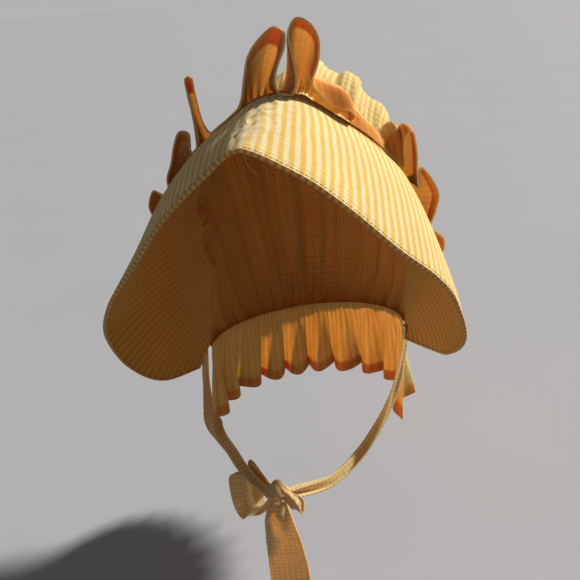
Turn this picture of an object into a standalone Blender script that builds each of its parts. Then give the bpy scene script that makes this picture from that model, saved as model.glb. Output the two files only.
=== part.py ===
"""Prairie bonnet as it is worn: brim, crown, standing ruffle, neck ruffle and ties knotted under the chin.

Millimetres in the tables, metres in the model. +X is the viewer's right, -Y the front, +Z up.
The origin is where the top of the head sits.
"""

import bpy
import numpy as np

MM = 0.001
BRIM_THICK = 2.5
CLOTH_THICK = 1.2
TIE_THICK = 1.0
TIE_WIDTH = 24.0
GATHER_SETBACK = 36.0
CROWN_FOLDS = 13
CROWN_FOLD_DEPTH = 2.6
NECK_FOLDS = 11
NECK_FOLD_DEPTH = 8.0
NECK_LENGTH = 64.0
BRIM_BULGE = 3.5
CREASE_RISE = 2.2
CREASE_WIDTH = 9.0
CREASE_SHRINK = 0.6
DENT_BESIDE_CREASE = -16.0
DENT_WIDTH = 8.0
DENT_DEPTH = 1.6
SEAM_RUN = 430.0
BRIM_REACH = 85.0
FLAT_BY_SEAM = 3
SEAM_GAP = 0.9
GATHER_RISE = 1.6
GATHER_DIP = 7.0
CORNER_SETBACK = 8.0
CORNER_SHARE = 0.12
CROWN_SLACK = 2.6
CROWN_LEAN = 0.10
NAPE_CENTRE = (-1.5, 30.0, -148.0)
NAPE_RADII = (75.0, 60.0)
NAPE_DIP = 5.0
NAPE_TILT = 8.0
RUFFLE_SEAT = 3.2
RUFFLE_TUCK = 1.0
RUFFLE_BOW = 2.0
RUFFLE_CLEAR = 2.8
RUFFLE_CLEAR_REACH = 4.0
NECK_FLARE = 7.0
NECK_CORNER_IN = 9.0
NECK_CORNER_FORWARD = 16.0
NECK_CORNER_SHARE = 0.05
NECK_CURL = 2.5
RIBBON_DISH = 0.8
KNOT_PINCH = 0.22
CLOTH_ROUGHNESS = 0.85

# Stations of the brim from the wearer's right end (viewer's left) over the top to the other end.
# Columns: seam x, y, z, then front edge x, y, z
BRIM_STATIONS = [
    (-76, 12, -150, -80, 2, -157),
    (-79, 6, -130, -96, -30, -147),
    (-82, 0, -106, -107, -56, -122),
    (-84, -6, -80, -109, -76, -88),
    (-82, -12, -54, -98, -88, -61),
    (-75, -18, -27, -79, -97, -37),
    (-63, -24, -4, -61, -105, -15),
    (-47, -28, 14, -44, -110, 3),
    (-28, -32, 28, -26, -113, 18),
    (-8, -34, 40, -7, -115, 28),
    (12, -34, 40, 17, -114, 17),
    (32, -31, 28, 40, -111, -1),
    (53, -27, 11, 63, -105, -25),
    (69, -21, -9, 82, -96, -44),
    (79, -15, -36, 95, -85, -66),
    (84, -8, -63, 102, -70, -96),
    (83, -1, -90, 97, -49, -118),
    (78, 6, -114, 86, -20, -130),
    (73, 12, -130, 73, 3, -136),
]

# How far the crown cloth puffs up behind its gathers.
# Columns: share of the way along the seam, rise
CROWN_PUFF = [
    (0.00, 0),
    (0.20, 3),
    (0.38, 4),
    (0.48, 10),
    (0.55, 24),
    (0.62, 34),
    (0.70, 30),
    (0.78, 14),
    (0.88, 5),
    (1.00, 0),
]

# Standing ruffle, a row for each fold from viewer's left to right, and its end. Columns at the fold's foot:
# share of the seam where it is gathered, y, rise of the cloth behind it, then its outline x, z from the front
RUFFLE_FOLDS = [
    (0.015, 6, 0, [(-82, -142), (-92, -126)]),
    (0.080, -2, 0, [(-86, -108), (-95, -90)]),
    (0.150, -8, 0, [(-87, -74), (-92, -58)]),
    (0.205, -13, 0, [(-85, -44), (-89, -32), (-90, -24), (-85, -14), (-79, -17)]),
    (0.262, -21, 0, [(-74, -17), (-73, -6), (-69, 3), (-65, 14), (-60, 23), (-54, 22), (-54, 13)]),
    (0.319, -31, 0, [(-51, 12), (-48, 19), (-48, 29), (-49, 42), (-50, 53), (-46, 54), (-45, 44), (-43, 32)]),
    (0.382, -37, 0, [(-39, 26), (-31, 28), (-23, 34)]),
    (0.432, -42, 0, [(-18, 43), (-15, 54), (-12, 63), (-6, 71), (2, 77), (7, 75), (7, 67), (4, 59), (2, 51)]),
    (0.497, -43, 0, [(6, 44), (12, 47), (13, 55),
                     (12, 64), (11, 73), (15, 79), (22, 76), (26, 68), (25, 58)]),
    (0.559, -41, 2, [(22, 50), (27, 43)]),
    (0.571, -40, 8, [(36, 37), (43, 32), (44, 28), (41, 26)]),
    (0.612, -32, 3, [(42, 24), (46, 20), (50, 16), (55, 12)]),
    (0.676, -27, 13, [(60, 6), (64, -1)]),
    (0.696, -26, 22, [(69, -5), (71, -3), (71, 5), (72, 13)]),
    (0.729, -22, 6, [(76, 14), (78, 4), (79, -9)]),
    (0.757, -18, 0, [(80, -15), (83, -11), (88, -18), (92, -26), (90, -38)]),
    (0.825, -12, 0, [(87, -51), (92, -60), (92, -69)]),
    (0.875, -3, 0, [(86, -80), (93, -93)]),
    (0.930, 4, 0, [(85, -106), (88, -119)]),
    (0.985, 10, 0, [(79, -128)]),
]

# Paths of the ribbons. Columns: x, y, z, then the width's direction x, y, z, then the share of the width
TIE_RIGHT = [
    (73, 10, -139, 0.1, 1.0, -0.1, 0.60),
    (69, 4, -158, 0.2, 1.0, 0.3, 0.45),
    (61, -6, -184, 0.2, 0.9, 0.4, 0.45),
    (43, -26, -208, 0.1, 0.9, 0.3, 0.45),
    (20, -52, -216, 0.1, 0.8, 0.1, 0.45),
    (-7.7, -69.5, -212.5, 0.1, 0.4, 0.7, 0.30),
]
TIE_LEFT = [
    (-78, 10, -160, -0.1, 1.0, -0.1, 0.60),
    (-76, -3, -177, -0.2, 1.0, 0.3, 0.50),
    (-67, -24, -192, -0.2, 0.9, 0.5, 0.50),
    (-51, -46, -198, -0.1, 0.6, 0.8, 0.50),
    (-38, -60, -205, 0.1, 0.4, 0.9, 0.45),
    (-26, -69, -210, 0.1, 0.4, 0.9, 0.30),
]
TIE_LOOP = [
    (-24, -66.5, -213.5, 0.3, 0.9, 0.3, 0.30),
    (-38, -57, -211, 0.4, 0.9, 0.2, 0.55),
    (-47, -52, -210, 0.4, 0.9, 0.0, 0.80),
    (-51, -50, -219, 0.5, 0.8, 0.0, 0.95),
    (-48, -53, -231, 0.5, 0.8, -0.1, 0.95),
    (-39, -58, -237, 0.4, 0.9, -0.2, 0.85),
    (-30, -62, -230, 0.3, 0.9, -0.2, 0.60),
    (-20, -68, -219.2, 0.2, 0.9, -0.2, 0.30),
]
TIE_LONG_END = [
    (-18, -77.5, -213, 0.9, -0.3, 0.1, 0.40),
    (-20, -83, -222, 1.0, -0.2, 0.1, 0.65),
    (-20, -84, -236, 1.0, -0.1, 0.1, 0.85),
    (-17, -84, -252, 1.0, 0.0, 0.1, 1.00),
    (-14, -84, -268, 1.0, 0.1, 0.1, 1.10),
    (-12, -84, -282, 1.0, 0.1, 0.1, 1.15),
]
TIE_SHORT_END = [
    (-10.2, -74.5, -209.5, 0.7, 0.5, 0.3, 0.30),
    (-4, -80, -212, 0.9, 0.3, 0.2, 0.42),
    (-1, -82, -217, 0.9, 0.3, 0.1, 0.25),
    (0, -82, -225, 0.9, 0.3, 0.1, 0.05),
]
KNOT_CENTRE = (-17, -70, -211)
KNOT_RADII = (9.5, 7.5, 8.5)

BRIM_CELLS = (56, 10)
CROWN_CELLS = (60, 14)
RUFFLE_CELLS = (168, 4)
NECK_CELLS = (54, 4)

CREAM_YELLOW = (0.93, 0.72, 0.30, 1.0)
DEEP_YELLOW = (0.86, 0.55, 0.16, 1.0)


def hermite(rows, at, wanted):
    """Smooth values through the rows of a table, at the wanted places along it."""
    rows = np.array(rows, float)
    at = np.array(at, float)
    gaps = np.diff(at)[:, None]
    rates = np.diff(rows, axis=0) / gaps
    slopes = np.empty_like(rows)
    slopes[1:-1] = (rates[:-1] * gaps[1:] + rates[1:] * gaps[:-1]) / (gaps[:-1] + gaps[1:])
    slopes[0] = rates[0]
    slopes[-1] = rates[-1]
    wanted = np.clip(np.asarray(wanted, float), at[0], at[-1])
    i = np.clip(np.searchsorted(at, wanted, side="right") - 1, 0, len(at) - 2)
    gap = gaps[i]
    t = ((wanted - at[i]) / (at[i + 1] - at[i]))[:, None]
    near = rows[i] * (1 + 2 * t) * (1 - t) ** 2 + rows[i + 1] * t * t * (3 - 2 * t)
    return near + gap * (slopes[i] * t * (1 - t) ** 2 - slopes[i + 1] * t * t * (1 - t))


def lengths(points):
    """Distance along a run of points, from 0 to 1."""
    steps = np.linalg.norm(np.diff(points, axis=0), axis=1)
    run = np.concatenate([[0.0], np.cumsum(steps)])
    return run / run[-1]


def unit(vectors):
    return vectors / np.maximum(np.linalg.norm(vectors, axis=-1, keepdims=True), 1e-9)


def normals_of(grid):
    """Outward normals of a grid whose rows run to the viewer's right and whose columns run backwards."""
    along = np.gradient(grid, axis=0)
    back = np.gradient(grid, axis=1)
    return unit(np.cross(along, back))


STATIONS = np.array(BRIM_STATIONS, float)
STATION_AT = lengths(STATIONS[:, :3])
CREASE_AT = STATION_AT[9]


def stations(share):
    """Seam points and front edge points at these shares of the way along the seam."""
    rows = hermite(STATIONS, STATION_AT, share)
    return rows[:, :3], rows[:, 3:]


def brim_grid(across, deep):
    """Brim from its front edge back to the seam, arched a little, with the handling crease."""
    share = np.linspace(0.0, 1.0, across + 1)
    seam, front = stations(share)
    v = np.linspace(0.0, 1.0, deep + 1)[None, :, None]
    grid = front[:, None] * (1 - v) + seam[:, None] * v
    out = normals_of(grid)
    length = np.linalg.norm(front - seam, axis=1) / BRIM_REACH
    arch = BRIM_BULGE * np.sin(np.pi * v) * length[:, None, None]
    run = (share - CREASE_AT) * SEAM_RUN
    ridge = np.exp(-np.abs(run) / CREASE_WIDTH)[:, None, None] * (1 - CREASE_SHRINK * v)
    dent = np.exp(-(((run - DENT_BESIDE_CREASE) / DENT_WIDTH) ** 2))[:, None, None] * np.sin(np.pi * v) ** 2
    return grid + out * (arch + CREASE_RISE * ridge - DENT_DEPTH * dent)


def seam_frame(share):
    """Seam points with the directions out of the head and backwards."""
    seam, front = stations(share)
    along = unit(np.gradient(seam, axis=0))
    back = unit(seam - front)
    back = unit(back * (1, 1, 0.3) + np.array([0, 0.6, 0]))
    out = unit(np.cross(along, back))
    back = unit(np.cross(out, along))
    return seam, out, back


def gather_wave(share):
    """Folds along the gathers: uneven, between -1 and 1."""
    bend = share + 0.008 * np.sin(9.0 * share + 0.7) + 0.006 * np.sin(23.0 * share)
    return np.sin(2 * np.pi * CROWN_FOLDS * bend) * (0.8 + 0.2 * np.sin(17.0 * share))


def nape(share):
    """Casing line round the back of the neck, at the same shares."""
    turn = np.pi * (share - 0.5)
    x = NAPE_CENTRE[0] + NAPE_RADII[0] * np.sin(turn)
    y = NAPE_CENTRE[1] + NAPE_RADII[1] * np.cos(turn)
    z = NAPE_CENTRE[2] - NAPE_DIP * np.cos(turn) + NAPE_TILT * np.sin(turn)
    return np.stack([x, y, z], 1)


def gather_line(share):
    """Where the crown is drawn up behind the seam."""
    seam, out, back = seam_frame(share)
    room = np.clip(np.minimum(share, 1 - share) / CORNER_SHARE, 0.0, 1.0)[:, None]
    setback = CORNER_SETBACK + (GATHER_SETBACK - CORNER_SETBACK) * room
    lift = (GATHER_RISE * gather_wave(share)[:, None] - GATHER_DIP) * room
    return seam + back * setback + out * lift, out, back


def crown_grid(across, deep):
    """Crown bag: flat under the ruffle, then puffed over the head and drawn in at the nape."""
    share = np.linspace(0.0, 1.0, across + 1)
    seam, out, back = seam_frame(share)
    line, _, _ = gather_line(share)
    low = nape(share)
    start = seam + back * SEAM_GAP
    reach = np.linalg.norm(low - line, axis=1)[:, None]
    lean = unit(low - np.array([0.0, 20.0, -90.0]))
    first = line + (back * 0.95 + out * 0.18) * reach * 0.42
    second = low + unit(lean + np.array([0.0, 0.5, 0.9])) * reach * 0.36
    grid = np.empty((across + 1, deep + 1, 3))
    for j in range(FLAT_BY_SEAM):
        grid[:, j] = start + (line - start) * j / FLAT_BY_SEAM
    for j in range(FLAT_BY_SEAM, deep + 1):
        t = (j - FLAT_BY_SEAM) / (deep - FLAT_BY_SEAM)
        grid[:, j] = (
            line * (1 - t) ** 3
            + first * 3 * t * (1 - t) ** 2
            + second * 3 * t * t * (1 - t)
            + low * t**3
        )
    t = np.clip((np.arange(deep + 1) - FLAT_BY_SEAM) / (deep - FLAT_BY_SEAM), 0, 1)
    puff = np.interp(share, *np.array(CROWN_PUFF).T)[:, None]
    rise = puff * np.sin(np.pi * np.clip(t * 1.7, 0, 1))
    grid[..., 2] += rise
    grid[..., 0] += CROWN_LEAN * rise
    fade = np.clip(np.minimum(share, 1 - share) / 0.08, 0.0, 1.0)[:, None]
    depth = CROWN_FOLD_DEPTH * (0.35 + 0.65 * np.abs(np.cos(np.pi * t)))[None, :] * fade
    depth = depth * np.clip(t / 0.12, 0, 1) * np.clip((1.0 - t) / 0.1, 0, 1)
    shift = share[:, None] + 0.02 * np.sin(3.0 * t + 8.0 * share[:, None])
    wave = gather_wave(shift.reshape(-1)).reshape(shift.shape)
    slack = CROWN_SLACK * np.sin(11.0 * share[:, None] + 4.0 * t) * np.sin(np.pi * t) ** 2
    return grid + normals_of(grid) * (wave * depth + slack * fade)[..., None]


def free_edge():
    """x, y, z, gathered share and rise along the ruffle's free edge, evenly shared out within each fold."""
    rows = []
    for fold, after in zip(RUFFLE_FOLDS, RUFFLE_FOLDS[1:] + RUFFLE_FOLDS[-1:]):
        for k, (x, z) in enumerate(fold[3]):
            part = k / len(fold[3])
            share, y, rise = (a + (b - a) * part for a, b in zip(fold[:3], after[:3]))
            rows.append((x, y, z, share, rise))
    return np.array(rows, float)


def ruffle_grid(across, deep):
    """Standing ruffle: from the gathers behind the seam forward to its looped free edge."""
    edge = free_edge()
    at = 0.2 * lengths(edge[:, :3]) + 0.8 * np.linspace(0, 1, len(edge))
    rows = hermite(edge, at, np.linspace(0.0, 1.0, across + 1))
    free = rows[:, :3]
    share = np.maximum.accumulate(rows[:, 3])
    line, out, back = gather_line(share)
    base = line + out * RUFFLE_SEAT - back * RUFFLE_TUCK
    v = np.linspace(0.0, 1.0, deep + 1)[None, :, None]
    grid = free[:, None] * (1 - v) + base[:, None] * v
    bow = np.sin(np.pi * v)
    grid = grid + out[:, None] * bow * RUFFLE_BOW
    grid[..., 2] += bow[..., 0] * rows[:, 4:5]
    return clear_of(grid, [brim_grid(160, 20), crown_grid(160, 28)], RUFFLE_CLEAR)


def clear_of(grid, others, room):
    """Moves points that come too near to other surfaces outwards, along those surfaces' normals."""
    spots = np.concatenate([other.reshape(-1, 3) for other in others])
    faces = np.concatenate([normals_of(other).reshape(-1, 3) for other in others])
    points = grid.reshape(-1, 3).copy()
    for _ in range(2):
        for k, point in enumerate(points):
            gaps = point - spots
            near = int(np.argmin(np.einsum("ij,ij->i", gaps, gaps)))
            height = float(gaps[near] @ faces[near])
            aside = float(np.linalg.norm(gaps[near] - height * faces[near]))
            if height < room and aside < RUFFLE_CLEAR_REACH:
                points[k] = point + faces[near] * (room - height)
    return points.reshape(grid.shape)


def neck_grid(across, deep):
    """Neck ruffle: hangs from the nape casing in soft folds, its front corners turned in."""
    share = np.linspace(0.0, 1.0, across + 1)
    top = nape(share)
    outward = unit((top - np.array([0.0, 15.0, 0.0])) * (1, 1, 0))
    v = np.linspace(0.0, 1.0, deep + 1)[None, :, None]
    bend = share + 0.012 * np.sin(13.0 * share + 0.5)
    wave = np.sin(2 * np.pi * NECK_FOLDS * bend)[:, None, None]
    side = unit(np.gradient(top, axis=0))
    curl = np.cos(2 * np.pi * NECK_FOLDS * bend)[:, None, None]
    drop = np.array([0.0, 0.0, -NECK_LENGTH]) * v
    near = np.exp(-np.minimum(share, 1 - share) / NECK_CORNER_SHARE)[:, None, None]
    flare = wave * NECK_FOLD_DEPTH * v**1.2 + (NECK_FLARE - NECK_CORNER_IN * near) * v
    grid = top[:, None] + drop - np.array([0, 0, 1.0]) + outward[:, None] * flare
    grid = grid + side[:, None] * curl * NECK_CURL * v
    grid[..., 1] -= NECK_CORNER_FORWARD * (near * v)[..., 0]
    last = np.exp(-(1 - share) / NECK_CORNER_SHARE)[:, None]
    grid[..., 0] -= NECK_CORNER_IN * last * v[..., 0]
    return grid


def ribbon_grid(rows, cells, width):
    """A ribbon along a path, two cells across, dished a little."""
    rows = np.array(rows, float)
    at = lengths(rows[:, :3])
    fine = hermite(rows, at, np.linspace(0.0, 1.0, cells + 1))
    path = fine[:, :3]
    across = unit(fine[:, 3:6])
    half = fine[:, 6:7] * width * 0.5
    along = unit(np.gradient(path, axis=0))
    across = unit(across - along * np.sum(across * along, axis=1, keepdims=True))
    face = np.cross(along, across)
    return np.stack([path - across * half, path + face * RIBBON_DISH, path + across * half], 1)


def material(name, colour, roughness):
    made = bpy.data.materials.new(name)
    made.use_nodes = True
    shader = made.node_tree.nodes["Principled BSDF"]
    shader.inputs["Base Color"].default_value = colour
    shader.inputs["Roughness"].default_value = roughness
    return made


def cloth(name, grid, thick, colour, home):
    """A thin closed wall along a grid of points."""
    rows, columns = grid.shape[:2]
    points = [tuple(float(c) * MM for c in p) for p in grid.reshape(-1, 3)]
    faces = []
    for i in range(rows - 1):
        for j in range(columns - 1):
            a = i * columns + j
            faces.append((a, a + columns, a + columns + 1, a + 1))
    mesh = bpy.data.meshes.new(name)
    mesh.from_pydata(points, [], faces)
    mesh.update()
    piece = bpy.data.objects.new(name, mesh)
    piece.data.materials.append(material(name, colour, CLOTH_ROUGHNESS))
    home.objects.link(piece)
    shell = piece.modifiers.new("Wall", "SOLIDIFY")
    shell.thickness = thick * MM
    shell.offset = 0.0
    return piece


def knot(name, colour, home):
    """The small lump where the two ties cross."""
    bpy.ops.mesh.primitive_uv_sphere_add(segments=12, ring_count=7, radius=1.0)
    piece = bpy.context.active_object
    piece.name = name
    piece.data.name = name
    for vertex in piece.data.vertices:
        x, y, z = vertex.co
        pinch = 1.0 - KNOT_PINCH * abs(np.sin(2.0 * np.arctan2(z, x)))
        vertex.co = [
            (centre + radius * c * pinch) * MM
            for c, radius, centre in zip((x, y, z), KNOT_RADII, KNOT_CENTRE)
        ]
    for folder in list(piece.users_collection):
        folder.objects.unlink(piece)
    home.objects.link(piece)
    piece.data.materials.append(material(name, colour, CLOTH_ROUGHNESS))
    return piece


def main():
    for old in list(bpy.data.objects):
        bpy.data.objects.remove(old)
    home = bpy.data.collections.new("prairie_bonnet")
    bpy.context.scene.collection.children.link(home)
    cloth("brim", brim_grid(*BRIM_CELLS), BRIM_THICK, CREAM_YELLOW, home)
    cloth("crown", crown_grid(*CROWN_CELLS), CLOTH_THICK, CREAM_YELLOW, home)
    cloth("ruffle", ruffle_grid(*RUFFLE_CELLS), CLOTH_THICK, DEEP_YELLOW, home)
    cloth("neck_ruffle", neck_grid(*NECK_CELLS), CLOTH_THICK, DEEP_YELLOW, home)
    cloth("tie_right", ribbon_grid(TIE_RIGHT, 14, TIE_WIDTH), TIE_THICK, DEEP_YELLOW, home)
    cloth("tie_left", ribbon_grid(TIE_LEFT, 14, TIE_WIDTH), TIE_THICK, DEEP_YELLOW, home)
    cloth("tie_loop", ribbon_grid(TIE_LOOP, 14, TIE_WIDTH), TIE_THICK, DEEP_YELLOW, home)
    cloth("tie_long_end", ribbon_grid(TIE_LONG_END, 10, TIE_WIDTH), TIE_THICK, DEEP_YELLOW, home)
    cloth("tie_short_end", ribbon_grid(TIE_SHORT_END, 5, TIE_WIDTH), TIE_THICK, DEEP_YELLOW, home)
    knot("tie_knot", DEEP_YELLOW, home)


main()
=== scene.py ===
"""Looks of a gingham prairie bonnet, held as a head wears it: cloth, stitching, ribbons, stage and light.

The shape tables are in millimetres. +X is the viewer's right, -Y the front, +Z up.
"""

import math

import bpy
import numpy as np
from mathutils import Matrix, Vector


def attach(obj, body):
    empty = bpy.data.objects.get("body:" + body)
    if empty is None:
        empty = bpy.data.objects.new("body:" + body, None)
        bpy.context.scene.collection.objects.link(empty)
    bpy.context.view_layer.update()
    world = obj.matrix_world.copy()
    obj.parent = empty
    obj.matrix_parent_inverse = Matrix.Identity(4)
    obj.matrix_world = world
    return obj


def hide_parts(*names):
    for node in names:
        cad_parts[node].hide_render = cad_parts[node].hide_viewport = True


bl_info = {
    "name": "Prairie Bonnet",
    "version": (1, 0, 0),
    "blender": (4, 5, 0),
    "location": "3D View > Sidebar > Bonnet",
    "description": "Builds a gathered gingham bonnet with its ruffles, ribbons and studio stage",
    "category": "Object",
}

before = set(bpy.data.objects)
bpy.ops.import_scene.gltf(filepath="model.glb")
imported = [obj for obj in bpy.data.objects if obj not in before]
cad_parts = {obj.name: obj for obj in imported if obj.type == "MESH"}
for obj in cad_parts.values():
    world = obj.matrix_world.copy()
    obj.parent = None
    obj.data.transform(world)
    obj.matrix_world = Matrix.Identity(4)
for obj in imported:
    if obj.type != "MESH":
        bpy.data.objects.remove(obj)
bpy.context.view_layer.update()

MM = 0.001
BODY = "root"

# Stations of the brim from viewer's left over the top to the right. Columns: seam x, y, z, front edge x, y, z
BRIM_STATIONS = [
    (-76, 12, -150, -80, 2, -157),
    (-79, 6, -130, -96, -30, -147),
    (-82, 0, -106, -107, -56, -122),
    (-84, -6, -80, -109, -76, -88),
    (-82, -12, -54, -98, -88, -61),
    (-75, -18, -27, -79, -97, -37),
    (-63, -24, -4, -61, -105, -15),
    (-47, -28, 14, -44, -110, 3),
    (-28, -32, 28, -26, -113, 18),
    (-8, -34, 40, -7, -115, 28),
    (12, -34, 40, 17, -114, 17),
    (32, -31, 28, 40, -111, -1),
    (53, -27, 11, 63, -105, -25),
    (69, -21, -9, 82, -96, -44),
    (79, -15, -36, 95, -85, -66),
    (84, -8, -63, 102, -70, -96),
    (83, -1, -90, 97, -49, -118),
    (78, 6, -114, 86, -20, -130),
    (73, 12, -130, 73, 3, -136),
]

# How far the crown cloth puffs up behind its gathers. Columns: share of the way along the seam, rise
CROWN_PUFF = [
    (0.00, 0),
    (0.20, 3),
    (0.38, 4),
    (0.48, 10),
    (0.55, 24),
    (0.62, 34),
    (0.70, 30),
    (0.78, 14),
    (0.88, 5),
    (1.00, 0),
]

# Standing ruffle, a row for each fold from viewer's left to right, and its end. Columns at the fold's foot:
# share of the seam where it is gathered, y, rise of the cloth behind it, then its outline x, z from the front
RUFFLE_FOLDS = [
    (0.015, 6, 0, [(-82, -142), (-92, -126)]),
    (0.080, -2, 0, [(-86, -108), (-95, -90)]),
    (0.150, -8, 0, [(-87, -74), (-92, -58)]),
    (0.205, -13, 0, [(-85, -44), (-89, -32), (-90, -24), (-85, -14), (-79, -17)]),
    (0.262, -21, 0, [(-74, -17), (-73, -6), (-69, 3), (-65, 14), (-60, 23), (-54, 22), (-54, 13)]),
    (0.319, -31, 0, [(-51, 12), (-48, 19), (-48, 29), (-49, 42), (-50, 53), (-46, 54), (-45, 44), (-43, 32)]),
    (0.382, -37, 0, [(-39, 24), (-31, 26), (-23, 32)]),
    (0.432, -42, 0, [
        (-18, 40), (-15, 53), (-12, 63), (-6, 71), (3, 77), (8.4, 74), (8.0, 67), (3.6, 58), (1.6, 48),
    ]),
    (0.497, -43, 0, [
        (6.4, 40), (12, 45), (13.2, 54), (11.4, 65), (10.2, 73), (15, 80), (22, 77), (26, 69), (25, 57),
    ]),
    (0.559, -41, 5, [(21.5, 47), (26.5, 40)]),
    (0.571, -40, 11, [(33, 34), (41, 31), (44, 27), (41, 24.5)]),
    (0.612, -33, 9, [(42, 22), (46, 19), (50, 15), (55, 11)]),
    (0.655, -28, 5, [(60, 5)]),
    (0.680, -27, 13, [(64, -1)]),
    (0.693, -26, 20, [(69, -5), (71, -3), (71, 5), (72, 13)]),
    (0.729, -22, 6, [(76, 14), (78, 4), (79, -11)]),
    (0.757, -18, 0, [(80, -20), (81, -8), (87, -15), (92, -26), (90, -38)]),
    (0.825, -12, 0, [(88, -48), (96, -57), (96, -66), (90, -71)]),
    (0.875, -3, 0, [(86, -80), (93, -93)]),
    (0.930, 4, 0, [(85, -106), (88, -119)]),
    (0.985, 10, 0, [(79, -128)]),
]

# Paths of the ribbons. Columns: x, y, z, then the width's direction x, y, z, then the share of the width
RIBBONS = {
    "tie_right": [
        (73, 12, -129, 0.1, 1.0, -0.1, 0.60),
        (72, 9, -143, 0.1, 1.0, 0.0, 0.56),
        (69, 4, -158, 0.2, 1.0, 0.3, 0.45),
        (61, -6, -184, 0.2, 0.9, 0.4, 0.45),
        (43, -26, -208, 0.1, 0.9, 0.3, 0.45),
        (20, -52, -216, 0.1, 0.8, 0.1, 0.45),
        (-7.7, -69.5, -212.5, 0.1, 0.4, 0.7, 0.30),
    ],
    "tie_left": [
        (-77.5, 12, -149, -0.1, 1.0, -0.1, 0.60),
        (-78, 9, -162, -0.1, 1.0, 0.0, 0.58),
        (-76, -3, -177, -0.2, 1.0, 0.3, 0.50),
        (-67, -24, -192, -0.2, 0.9, 0.5, 0.50),
        (-51, -46, -198, -0.1, 0.6, 0.8, 0.50),
        (-38, -60, -205, 0.1, 0.4, 0.9, 0.45),
        (-26, -69, -210, 0.1, 0.4, 0.9, 0.30),
    ],
    "tie_loop": [
        (-24, -66.5, -213.5, 0.4, 0.8, 0.4, 0.30),
        (-33, -60, -208, 0.5, 0.6, 0.6, 0.46),
        (-40, -56, -204, 0.6, 0.5, 0.4, 0.60),
        (-43, -54, -209, 0.8, 0.5, 0.2, 0.76),
        (-42, -57, -221, 0.9, 0.4, 0.1, 0.90),
        (-37, -60, -235, 0.9, 0.4, -0.1, 0.92),
        (-28, -65, -232, 0.7, 0.6, -0.2, 0.70),
        (-20, -68, -219.2, 0.3, 0.8, -0.2, 0.30),
    ],
    "tie_long_end": [
        (-16.5, -77.5, -213, 0.9, -0.3, 0.1, 0.52),
        (-15.5, -83, -222, 1.0, -0.2, 0.1, 0.80),
        (-14, -84, -236, 1.0, -0.1, 0.1, 0.98),
        (-12.8, -84, -252, 1.0, 0.0, 0.1, 1.06),
        (-11.8, -84, -268, 1.0, 0.1, 0.1, 1.12),
        (-11.5, -84, -282, 1.0, 0.1, 0.1, 1.14),
    ],
    "tie_short_end": [
        (-10.2, -74.5, -209.5, 0.7, 0.5, 0.3, 0.60),
        (-6, -78.5, -209.5, 0.9, 0.3, 0.2, 0.72),
        (-2, -81, -211.5, 0.9, 0.3, 0.1, 0.80),
        (0.5, -82, -218, 0.9, 0.3, 0.1, 0.08),
    ],
}
KNOT_CENTRE = (-17, -70, -211)
KNOT_RADII = (9.5, 7.5, 8.5)
KNOT_PINCH = 0.22
KNOT_PLEAT = 0.05

# The tables and values below are in millimetres, or are shares, unless a comment says otherwise. The numbers
# that stay inside sines and ripples only make folds uneven

# Cells along and across each cloth. The coarse ones find where the ruffle is too near to the cloth under it
BRIM_CELLS = (280, 44)
BRIM_COARSE_CELLS = (160, 20)
CROWN_CELLS = (420, 98)
CROWN_COARSE_CELLS = (160, 28)
RUFFLE_COARSE_CELLS = (336, 8)
RUFFLE_CELLS = (1008, 24)
NECK_CELLS = (540, 40)
RIBBON_CELLS = 150
SHORT_END_CELLS = 60
RIBBON_CELLS_ACROSS = 24

# Brim: its arch, the crease that runs back from the peak, the dent and crumpling beside it, and the groove
# that the topstitching draws
SEAM_RUN = 430.0
BRIM_REACH = 85.0
BRIM_BULGE = 3.5
BRIM_UNEVENNESS = 0.5
CREASE_RISE = 2.2
CREASE_WIDTH = 9.0
CREASE_SHRINK = 0.6
CREASE_ASIDE = 13.0
DENT_BESIDE_CREASE = -16.0
DENT_WIDTH = 8.0
DENT_DEPTH = 1.6
CRUMPLE_BESIDE_CREASE = -3.0
CRUMPLE_WIDTH = 8.0
CRUMPLE_DEPTH = 1.6
GROOVE_WIDTH = 0.7
GROOVE_DEPTH = 0.5

# Gathers: the line behind the seam where the crown is drawn up and the ruffle stands
GATHER_SETBACK = 36.0
GATHER_RISE = 1.6
GATHER_DIP = 7.0
CORNER_SETBACK = 8.0
CORNER_SHARE = 0.12
SEAM_BACK_WEIGHTS = (1.0, 1.0, 0.3)
SEAM_BACK_LEAN = (0.0, 0.6, 0.0)

# Crown: its folds and pleats, the curve of the bag from the gathers down, and the casing at the nape
CROWN_START = 0.2
CROWN_COARSE_START = 0.9
FLAT_BY_SEAM = 3 / 14
CROWN_FOLDS = 13
CROWN_FOLD_DEPTH = 2.6
CROWN_END_FADE = 0.08
CROWN_PLEATS = 71
CROWN_LONG_PLEATS = 34
CROWN_PLEAT_DEPTH = 0.8
CROWN_CREASING = 0.7
CROWN_SLACK = 2.6
CROWN_LEAN = 0.10
CROWN_CENTRE = (0.0, 20.0, -90.0)
CROWN_FULLNESS = 0.9
PUFF_QUICKNESS = 1.7
BAG_BACK = 0.95
BAG_OUT = 0.18
BAG_TOP_REACH = 0.42
BAG_LOW_LEAN = (0.0, 0.5, 0.9)
BAG_LOW_REACH = 0.36
NAPE_CENTRE = (-1.5, 30.0, -148.0)
NAPE_RADII = (75.0, 60.0)
NAPE_DIP = 5.0
NAPE_TILT = 8.0

# Painted shade: darker strips at the back of the brim and on the crown's flat part, where the ruffle shades
# them. Shares of the brim, and of the crown's flat part
BRIM_SHADE_FROM = 0.915
BRIM_SHADE_FADE = 0.02
CROWN_SHADE_TO = 0.9
CROWN_SHADE_FADE = 0.125

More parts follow.
